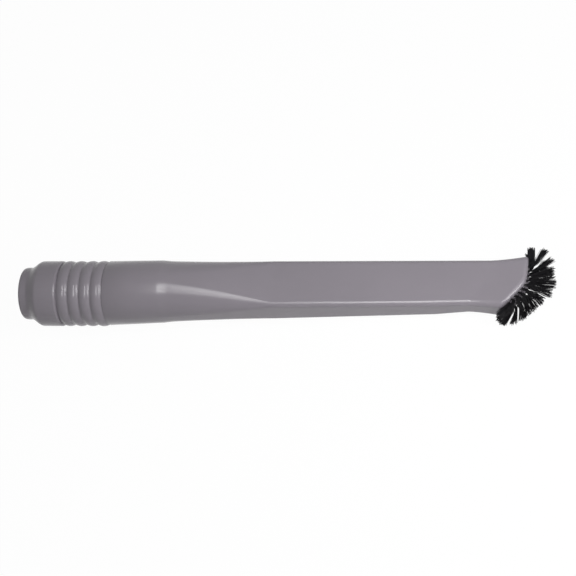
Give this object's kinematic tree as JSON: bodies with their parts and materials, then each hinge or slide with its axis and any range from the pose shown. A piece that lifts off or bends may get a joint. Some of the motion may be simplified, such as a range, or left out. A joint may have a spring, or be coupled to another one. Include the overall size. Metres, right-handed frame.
{
  "type": "vacuum crevice tool",
  "caption": "Long flat suction nozzle with a round ribbed socket neck and a slanted mouth ringed by black bristle tufts.",
  "frame": {"origin": "centre of the neck's open end, on the axis of the socket", "axes": "+X from the open end along the tool to the brush, +Y across the broad face towards the long side of the slanted mouth, +Z out of the broad face that lies uppermost"},
  "size_m": [0.3434, 0.0492, 0.0422],
  "materials": {
    "casing": "satin moulded plastic",
    "bristle": "nylon filaments",
    "anchor_wire": "flattened wire"
  },
  "bodies": {
    "root": {"casing": "casing", "tuft_01": "bristle", "tuft_02": "bristle", "tuft_03": "bristle", "tuft_04": "bristle", "tuft_05": "bristle", "tuft_06": "bristle", "tuft_07": "bristle", "tuft_08": "bristle", "tuft_09": "bristle", "tuft_10": "bristle", "tuft_11": "bristle", "tuft_12": "bristle", "tuft_13": "bristle", "tuft_14": "bristle", "tuft_15": "bristle", "tuft_16": "bristle", "tuft_17": "bristle", "tuft_18": "bristle", "tuft_19": "bristle", "tuft_20": "bristle", "tuft_21": "bristle", "tuft_22": "bristle", "tuft_23": "bristle", "tuft_24": "bristle", "tuft_25": "bristle", "tuft_26": "bristle", "tuft_anchors": "anchor_wire"}
  },
  "joints": []
}
